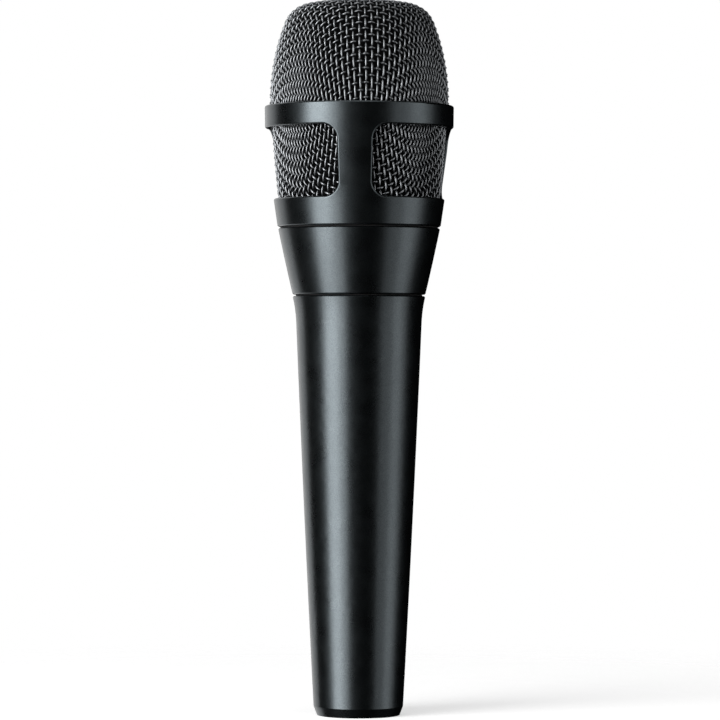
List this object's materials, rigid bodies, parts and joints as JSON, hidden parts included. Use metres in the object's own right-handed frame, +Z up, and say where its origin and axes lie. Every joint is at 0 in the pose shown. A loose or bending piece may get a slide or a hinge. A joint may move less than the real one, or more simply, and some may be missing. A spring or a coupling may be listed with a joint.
{
  "type": "dynamic microphone",
  "caption": "Handheld dynamic vocal microphone: tapered handle with a cable connector in its end, cone neck and a screw-on grille of woven mesh in a ribbed cage round a sprung cartridge.",
  "frame": {"origin": "centre of the handle's base rim, on the long axis", "axes": "+Z up the long axis towards the grille, -Y towards the cage's front rib, +X to the right seen from the front"},
  "size_m": [0.05, 0.05, 0.1892],
  "materials": {
    "handle_paint": "satin black metallic paint on die-cast zinc",
    "cage_paint": "satin black metallic paint on die-cast zinc",
    "mesh_wire": "black-finished woven steel wire",
    "grille_foam": "open-cell foam, black",
    "seal_rubber": "moulded rubber, matt",
    "mount_rubber": "moulded rubber, matt",
    "connector_metal": "nickel-plated, satin",
    "insulator_plastic": "moulded thermoset, matt",
    "pin_metal": "silver-plated brass",
    "screw_steel": "black-oxide steel",
    "core_iron": "laminated silicon steel",
    "bobbin_plastic": "moulded nylon, natural",
    "winding_copper": "enamelled copper wire",
    "pad_foam": "closed-cell foam, grey",
    "lead_sleeve_red": "soft insulation, satin",
    "lead_sleeve_white": "soft insulation, satin",
    "cartridge_metal": "turned, plain",
    "cloth": "woven acoustic cloth",
    "yoke_steel": "zinc-plated soft iron",
    "magnet_metal": "nickel-plated sintered magnet",
    "cap_plastic": "moulded, satin black",
    "rear_cap_plastic": "phenolic board, satin",
    "film": "clear formed film"
  },
  "bodies": {
    "handle": {"handle": "handle_paint", "neck_ring": "handle_paint", "clamp_ring": "cartridge_metal", "connector_shell": "connector_metal", "connector_insulator": "insulator_plastic", "pin_1": "pin_metal", "pin_2": "pin_metal", "pin_3": "pin_metal", "ground_tag": "pin_metal", "lock_screw": "screw_steel", "transformer_core": "core_iron", "transformer_bobbin": "bobbin_plastic", "transformer_windings": "winding_copper", "transformer_pad": "pad_foam", "output_lead_2": "lead_sleeve_red", "output_lead_3": "lead_sleeve_white", "cartridge_lead_1": "lead_sleeve_red", "cartridge_lead_2": "lead_sleeve_white"},
    "grille_seal": {"seal_ring": "seal_rubber"},
    "grille": {"grille_cage": "cage_paint", "upper_mesh": "mesh_wire", "lower_mesh": "mesh_wire", "foam_cap": "grille_foam", "foam_sleeve": "grille_foam"},
    "cartridge": {"shock_mount": "mount_rubber", "cartridge_shell": "cartridge_metal", "port_cloth": "cloth", "motor_yoke": "yoke_steel", "motor_front_plate": "yoke_steel", "motor_magnet": "magnet_metal", "motor_pole_piece": "yoke_steel", "resonator_cap": "cap_plastic", "cap_screen": "cloth", "rear_cap": "rear_cap_plastic", "solder_lug_1": "pin_metal", "solder_lug_2": "pin_metal"},
    "moving_coil": {"voice_coil": "winding_copper", "diaphragm": "film"}
  },
  "joints": [
    {"name": "grille_rise", "type": "slide", "parent": "handle", "child": "grille_seal", "axis": [0, 0, 1], "range_m": [0, 0.00375]},
    {"name": "grille_turn", "type": "hinge", "parent": "grille_seal", "child": "grille", "pos_m": [0, 0, 0.1286], "axis": [0, 0, 1], "range_deg": [0, 1350.5]},
    {"name": "cartridge_float", "type": "slide", "parent": "handle", "child": "cartridge", "axis": [0, 0, 1], "range_m": [-0.001, 0.001], "stiffness_N_per_m": 6000, "deforming": ["shock_mount", "cartridge_lead_1", "cartridge_lead_2"]},
    {"name": "coil_travel", "type": "slide", "parent": "cartridge", "child": "moving_coil", "axis": [0, 0, 1], "range_m": [-0.00035, 0.00035], "stiffness_N_per_m": 250, "deforming": ["diaphragm"]}
  ],
  "couplings": [
    {"joint": "grille_turn", "follows": "grille_rise", "rad_per_m": 6283.2}
  ]
}
